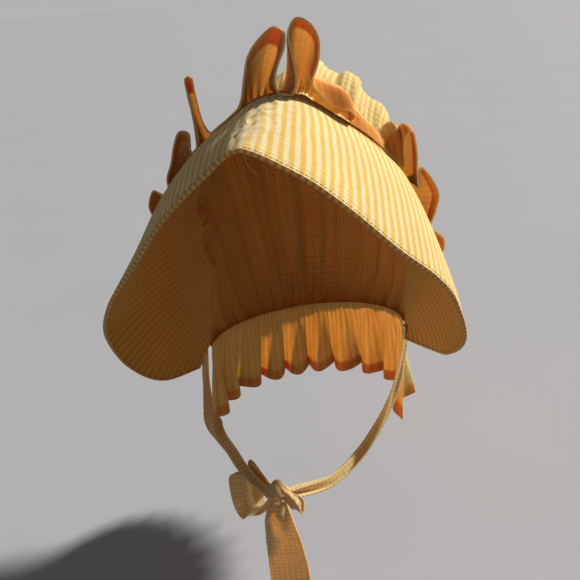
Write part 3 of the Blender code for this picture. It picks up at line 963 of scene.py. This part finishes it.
class BONNET_OT_brim(bpy.types.Operator):
    """Build the stiff brim with its folded edge, topstitching and stray thread"""

    bl_idname = "bonnet.brim"
    bl_label = "Brim"

    def execute(self, context):
        sizes = context.scene.bonnet_sizes
        across, deep = BRIM_CELLS
        grid = brim_grid(across, deep)
        out = normals_of(grid)
        share, v = shares(across, deep)
        run = (share - CREASE_AT) * SEAM_RUN - CREASE_ASIDE * v
        crumpled = np.exp(-(((run - CRUMPLE_BESIDE_CREASE) / CRUMPLE_WIDTH) ** 2)) * clamp(v * 3 + 0.25)
        crumple = ripple(run * 1.1 + 4.0 * v, v * 34.0, 1.0) * crumpled * CRUMPLE_DEPTH
        soft = ripple(run * 0.09, v * 5.0, 4.0) * BRIM_UNEVENNESS
        from_edge = v * BRIM_REACH - sizes.topstitch_in / MM
        groove = -GROOVE_DEPTH * np.exp(-((from_edge / GROOVE_WIDTH) ** 2))
        grid = grid + out * (crumple + soft + groove)[..., None]
        # Painted shade: the hem tints darken the brim's back strip and back edge, where the ruffle shades
        # them
        finishes = [
            # Painted highlight: pale patches on the crumples
            gingham("brim_gingham", 0.04, deep=(1.0, 0.97, 0.88), hem=(0.95, 0.56, 0.26), crumple_highlight=True),
            # Painted shade: the inside is a darker, more orange copy of the same cloth
            gingham("brim_inside_painted_shade", 0.7, stripes=(0.9, 0.9), deep=(0.88, 0.58, 0.28)),
            gingham(
                "brim_fold", 0.5, stripes=(1.3, 0.0), pitch=(0.7, 1.0), deep=(1.0, 0.88, 0.72),
                hem=(0.80, 0.40, 0.14),
            ),
        ]
        marks = {
            # Painted highlight: where the pale patches go on the crumples
            "crumple_highlight": crumpled * (0.5 + 0.5 * ripple(run * 1.3, v * 31.0, 6.0)),
            # Painted shade: the brim's back strip, which the ruffle shades
            "doubled_and_shaded": np.broadcast_to(clamp((v - BRIM_SHADE_FROM) / BRIM_SHADE_FADE), run.shape),
        }
        piece = cloth(
            "brim_cloth", grid, grid_uv(grid), sizes.brim_wall, finishes, ["brim"],
            marks=marks, rounded=BRIM_FOLD_RADIUS,
        )
        thread = thread_finish("brim_thread", context.scene.bonnet_colours.thread)
        at = sizes.topstitch_in / MM / BRIM_REACH * deep
        low = int(at)
        line = grid[:, low] * (1 - at + low) + grid[:, low + 1] * (at - low)
        stitch = (sizes.stitch / MM, TOPSTITCH_GAP, TOPSTITCH_THICK)
        wall = sizes.brim_wall / MM / 2
        stitches = stitches_on_both("brim_topstitch", line, out[:, low], wall, stitch, "brim_cloth", thread)
        start = grid[round(CREASE_AT * across), 0] + STRAY_START
        hang = np.linspace(0, 1, 14)[:, None]
        path = start + hang * STRAY_HANG + np.sin(hang * np.pi) * STRAY_BOW
        stray = thread_finish("stray", (0.85, 0.62, 0.35))
        thread_piece("stray_thread", [path], STRAY_THICK, stray)
        return {"FINISHED"}


class BONNET_OT_crown(bpy.types.Operator):
    """Build the puffed crown with its gathers"""

    bl_idname = "bonnet.crown"
    bl_label = "Crown"

    def execute(self, context):
        sizes = context.scene.bonnet_sizes
        grid = crown_grid(*CROWN_CELLS, CROWN_START)
        share, v = shares(*CROWN_CELLS)
        t = clamp((v - FLAT_BY_SEAM) / (1 - FLAT_BY_SEAM))
        fade = clamp(np.minimum(share, 1 - share) / 0.06)
        drawn = np.exp(-t / 0.10) * clamp(t / 0.02) + np.exp(-(1 - t) / 0.09)
        pleat = np.sin(2 * np.pi * (CROWN_PLEATS * share + 0.6 * np.sin(19 * share)))
        pleat = pleat * CROWN_PLEAT_DEPTH * drawn
        bend = 0.4 * np.sin(31 * share) + 0.3 * t
        long_pleat = np.sin(2 * np.pi * (CROWN_LONG_PLEATS * share + bend)) * CROWN_PLEAT_DEPTH
        long_pleat = long_pleat * (np.exp(-t / 0.3) + np.exp(-(1 - t) / 0.25)) * clamp(t / 0.05)
        slack = ripple(share * 60, t * 9, 5.0) * CROWN_CREASING * clamp(t / 0.1)
        held = clamp((1 - t) / 0.05)
        grid = grid + normals_of(grid) * ((pleat + long_pleat + slack) * fade * held)[..., None]
        # Painted shade: the hem tint darkens the crown's flat strip by the seam, in the ruffle's shadow
        finish = gingham(
            "crown_gingham", 0.12, stripes=(0.8, 0.6), pitch=(0.62, 1.2), deep=(1.0, 0.97, 0.86),
            hem=(0.72, 0.42, 0.20),
        )
        # Painted shade: the inside is a darker, more orange copy of the same cloth
        reverse = gingham(
            "crown_inside_painted_shade", 0.12, stripes=(0.6, 0.6), pitch=(0.62, 1.2), deep=(0.86, 0.58, 0.30)
        )
        # Painted shade over the flat part from the seam, fading out just before the gathers
        shade_strip = clamp((CROWN_SHADE_TO - v / FLAT_BY_SEAM) / CROWN_SHADE_FADE)
        wall = sizes.cloth_wall * sizes.single
        piece = cloth(
            "crown_cloth", grid, grid_uv(grid, CROWN_FULLNESS), wall,
            [finish, reverse, finish], ["crown"], marks={"doubled_and_shaded": np.broadcast_to(shade_strip, grid.shape[:2])},
        )
        return {"FINISHED"}


class BONNET_OT_ruffle(bpy.types.Operator):
    """Build the standing ruffle with its turned hem, stitch rows and gathers"""

    bl_idname = "bonnet.ruffle"
    bl_label = "Standing ruffle"

    def execute(self, context):
        sizes = context.scene.bonnet_sizes
        coarse = ruffle_grid(*RUFFLE_COARSE_CELLS)
        under = [brim_grid(*BRIM_COARSE_CELLS), crown_grid(*CROWN_COARSE_CELLS, CROWN_COARSE_START)]
        coarse = clear_of(coarse, under, RUFFLE_CLEAR)
        grid = resample(coarse, *RUFFLE_CELLS)
        run = run_of(grid[:, 0])[:, None]
        _, v = shares(*RUFFLE_CELLS)
        pleat = np.sin(run / RUFFLE_PLEAT_RUN + 0.9 * np.sin(run / 17.0)) * RUFFLE_PLEAT_DEPTH
        pleat = pleat * clamp(v - 0.45) ** 1.2 * 2
        flutter = ripple(run / 6.0, v * 4.0, 3.0) * RUFFLE_FLUTTER
        grid = grid + normals_of(grid) * (pleat + flutter)[..., None]
        uv = grid_uv(grid)
        uv[..., 0] = (run_of(grid[:, 0]) * MM)[:, None]
        # Painted shade: the hem tint darkens the really doubled hem, as if less light came through it
        hem_shade_tint = (0.88, 0.62, 0.34)
        # Painted shade: both faces are tinted deeper orange, standing in for shaded cloth lit through from
        # behind
        finishes = [
            gingham("ruffle_outer", 1.0, stripes=(0.5, 0.4), deep=(1.0, 0.65, 0.42), hem=hem_shade_tint),
            gingham("ruffle_inner", 1.0, stripes=(0.3, 0.3), deep=(1.0, 0.78, 0.68), hem=hem_shade_tint),
            # Painted highlight: the edge finish is a pale cream line with almost no stripes
            gingham("ruffle_edge_painted_highlight", 0.3, stripes=(0.1, 0.1), deep=(1.0, 0.84, 0.62)),
        ]
        hemmed("ruffle", "ruffle", grid, uv, sizes.hem - uv[..., 1], finishes)
        return {"FINISHED"}


class BONNET_OT_neck_ruffle(bpy.types.Operator):
    """Build the neck ruffle with its hem"""

    bl_idname = "bonnet.neck_ruffle"
    bl_label = "Neck ruffle"

    def execute(self, context):
        sizes = context.scene.bonnet_sizes
        grid = neck_grid(*NECK_CELLS)
        share, v = shares(*NECK_CELLS)
        pleat = np.sin(2 * np.pi * (NECK_PLEATS * share + 0.5 * np.sin(23 * share)))
        pleat = pleat * NECK_PLEAT_DEPTH * np.exp(-v / 0.22)
        slack = ripple(share * 90, v * 6, 2.0) * NECK_CREASING * v
        grid = grid + normals_of(grid) * ((pleat + slack) * clamp(v / 0.06))[..., None]
        grid[..., 2] += NECK_TUCK_UP * clamp(1 - v / 0.06)
        outward = unit((grid[:, 0] - NECK_CENTRE) * (1, 1, 0))[:, None]
        grid = grid - outward * NECK_TUCK_IN * clamp(1 - v / 0.10)[..., None]
        uv = grid_uv(grid)
        # Painted shade: the hem tint darkens the really doubled hem, as if less light came through it
        finish = gingham(
            "neck_gingham", 1.0, stripes=(0.6, 0.5), deep=(1.0, 0.78, 0.54), hem=(0.92, 0.74, 0.52)
        )
        inside = uv[..., 1] - uv[0, -1, 1] + sizes.hem
        hemmed("neck", "neck_ruffle", grid, uv, inside, [finish])
        return {"FINISHED"}


class BONNET_OT_ties(bpy.types.Operator):
    """Build the tied ribbons, their knot and the frayed end"""

    bl_idname = "bonnet.ties"
    bl_label = "Ties"

    def execute(self, context):
        sizes = context.scene.bonnet_sizes
        width = sizes.ribbon / MM
        finish = gingham("tie_gingham", 1.0, stripes=(0.5, 0.5), pitch=(0.62, 1.25), deep=(1.0, 0.84, 0.80))
        for name, rows in RIBBONS.items():
            short = name == "tie_short_end"
            cells = SHORT_END_CELLS if short else RIBBON_CELLS
            grid = ribbon_grid(rows, cells, RIBBON_CELLS_ACROSS, width / 2 if short else width)
            u = run_of(grid[:, RIBBON_CELLS_ACROSS // 2]) * MM
            v = np.linspace(0, sizes.ribbon, RIBBON_CELLS_ACROSS + 1)
            uv = np.stack(np.broadcast_arrays(u[:, None], v[None, :]), -1)
            wall = sizes.cloth_wall * sizes.single
            piece = cloth(f"{name}_ribbon", grid, uv, wall, [finish], [name])
            fringe = [self.fray(grid[-1])] if name == "tie_long_end" else []
        self.knot(finish)
        return {"FINISHED"}

    def fray(self, end):
        """Loose threads that hang from the cut end of a ribbon."""
        draw = np.random.default_rng(7)
        paths = []
        for _ in range(FRAY_THREADS):
            place = end[0] + (end[-1] - end[0]) * draw.uniform(0.0, 1.0)
            reach = draw.uniform(1.5, 5.5)
            lean = np.array([draw.normal(0, 0.35), draw.normal(0, 0.3), -1.0])
            t = np.linspace(0, 1, 6)[:, None]
            bend = np.array([draw.normal(0, 1.2), draw.normal(0, 0.8), 0.0])
            paths.append(place + np.array([0, 0, 1.0]) + t * reach * lean + t * t * bend)
        finish = thread_finish("fray", (0.88, 0.66, 0.36))
        return thread_piece("tie_fray", paths, FRAY_THICK, finish)

    def knot(self, finish):
        """A ball pinched in at four sides, with small pleats round it."""
        nothing_selected()
        bpy.ops.mesh.primitive_uv_sphere_add(segments=72, ring_count=40, radius=1.0)
        piece = bpy.context.active_object
        mesh = piece.data
        co = np.array([v.co for v in mesh.vertices])
        angle = np.arctan2(co[:, 2], co[:, 0])
        pinch = 1.0 - KNOT_PINCH * np.abs(np.sin(2.0 * angle))
        pleat = 1.0 + KNOT_PLEAT * np.sin(9.0 * co[:, 1] + 6.0 * co[:, 0] + 2.0 * np.sin(2 * angle))
        shaped = (co * np.array(KNOT_RADII) * (pinch * pleat)[:, None] + np.array(KNOT_CENTRE)) * MM
        mesh.vertices.foreach_set("co", shaped.astype(np.float32).ravel())
        corners = np.empty(len(mesh.loops) * 2)
        layer = mesh.uv_layers.active.data
        layer.foreach_get("uv", corners)
        scale = np.array([2 * math.pi * KNOT_RADII[0], math.pi * KNOT_RADII[2]]) * MM
        layer.foreach_set("uv", (corners.reshape(-1, 2) * scale).astype(np.float32).ravel())
        mesh.update()
        shaded(piece, KNOT_EDGE)
        dressed(piece, [finish])
        placed(piece, "tie_knot_folds", ["tie_knot"])


class BONNET_OT_stage(bpy.types.Operator):
    """Set the floor, the lights and the camera"""

    bl_idname = "bonnet.stage"
    bl_label = "Stage"

    def execute(self, context):
        nothing_selected()
        bpy.ops.mesh.primitive_plane_add(size=FLOOR_SIZE, location=(0, 0, FLOOR_HEIGHT))
        floor = context.active_object
        floor.name = "floor"
        colour = context.scene.bonnet_colours.floor
        floor.data.materials.append(plain_finish("floor_paper", colour, 3.0, 0.97, 1.0, 0.9))
        floor.visible_diffuse = False
        self.light(
            "key", "SUN", KEY_FROM, energy=KEY_STRENGTH, angle=math.radians(KEY_WIDTH), color=KEY_COLOUR
        )
        bounce = self.light(
            "bounce", "AREA", BOUNCE_FROM, energy=BOUNCE_STRENGTH, size=BOUNCE_SIZE, color=BOUNCE_COLOUR
        )
        bounce.location = BOUNCE_PLACE
        self.world(context)
        self.camera(context)
        context.scene.view_settings.view_transform = "Standard"
        return {"FINISHED"}

    def light(self, name, kind, comes_from, **values):
        """A light that comes from the given direction."""
        data = bpy.data.lights.new(name, kind)
        for key, value in values.items():
            setattr(data, key, value)
        lamp = bpy.data.objects.new(name, data)
        lamp.rotation_euler = Vector(comes_from).to_track_quat("Z", "Y").to_euler()
        bpy.context.scene.collection.objects.link(lamp)
        return lamp

    def world(self, context):
        """Soft studio surroundings: dim above and below, paler at the height of the horizon."""
        n = Nodes(bpy.data.worlds.new("studio"), "Background")
        apart = n.add("ShaderNodeSeparateXYZ")
        n.join(n.add("ShaderNodeTexCoord").outputs["Generated"], apart.inputs[0])
        n.join(n.ramp(n.span(apart.outputs[2], -1.0, 1.0), SKY_STOPS), n.shader.inputs[0])
        n.shader.inputs[1].default_value = 1.0
        context.scene.world = n.made

    def camera(self, context):
        azimuth, elevation, roll = (math.radians(a) for a in CAMERA_TURNS)
        level = math.cos(elevation)
        back = Vector((math.sin(azimuth) * level, -math.cos(azimuth) * level, math.sin(elevation)))
        right = Vector((0, 0, 1)).cross(back).normalized()
        up = back.cross(right)
        turned_right = right * math.cos(roll) + up * math.sin(roll)
        turned_up = up * math.cos(roll) - right * math.sin(roll)
        data = bpy.data.cameras.new("camera")
        data.sensor_width = SENSOR
        data.lens = LENS
        data.clip_start = CAMERA_NEAR
        camera = bpy.data.objects.new("camera", data)
        turn = Matrix((turned_right, turned_up, back)).transposed()
        place = Matrix.Translation(Vector(CAMERA_TARGET) + back * CAMERA_DISTANCE)
        camera.matrix_world = place @ turn.to_4x4()
        context.scene.collection.objects.link(camera)
        context.scene.camera = camera


class BONNET_PT_panel(bpy.types.Panel):
    bl_idname = "BONNET_PT_panel"
    bl_label = "Bonnet"
    bl_space_type = "VIEW_3D"
    bl_region_type = "UI"
    bl_category = "Bonnet"

    def draw(self, context):
        for group in (context.scene.bonnet_sizes, context.scene.bonnet_colours):
            for key in group.__annotations__:
                self.layout.prop(group, key)
        for operator in OPERATORS:
            self.layout.operator(operator.bl_idname)


OPERATORS = (
    BONNET_OT_stage,
    BONNET_OT_brim,
    BONNET_OT_crown,
    BONNET_OT_ruffle,
    BONNET_OT_neck_ruffle,
    BONNET_OT_ties,
)
CLASSES = (BonnetSizes, BonnetColours, *OPERATORS, BONNET_PT_panel)


def register():
    for made in CLASSES:
        bpy.utils.register_class(made)
    bpy.types.Scene.bonnet_sizes = bpy.props.PointerProperty(type=BonnetSizes)
    bpy.types.Scene.bonnet_colours = bpy.props.PointerProperty(type=BonnetColours)


def unregister():
    del bpy.types.Scene.bonnet_sizes
    del bpy.types.Scene.bonnet_colours
    for made in reversed(CLASSES):
        bpy.utils.unregister_class(made)


def main():
    register()
    bpy.ops.bonnet.stage()
    bpy.ops.bonnet.brim()
    bpy.ops.bonnet.crown()
    bpy.ops.bonnet.ruffle()
    bpy.ops.bonnet.neck_ruffle()
    bpy.ops.bonnet.ties()


if __name__ == "__main__":
    main()
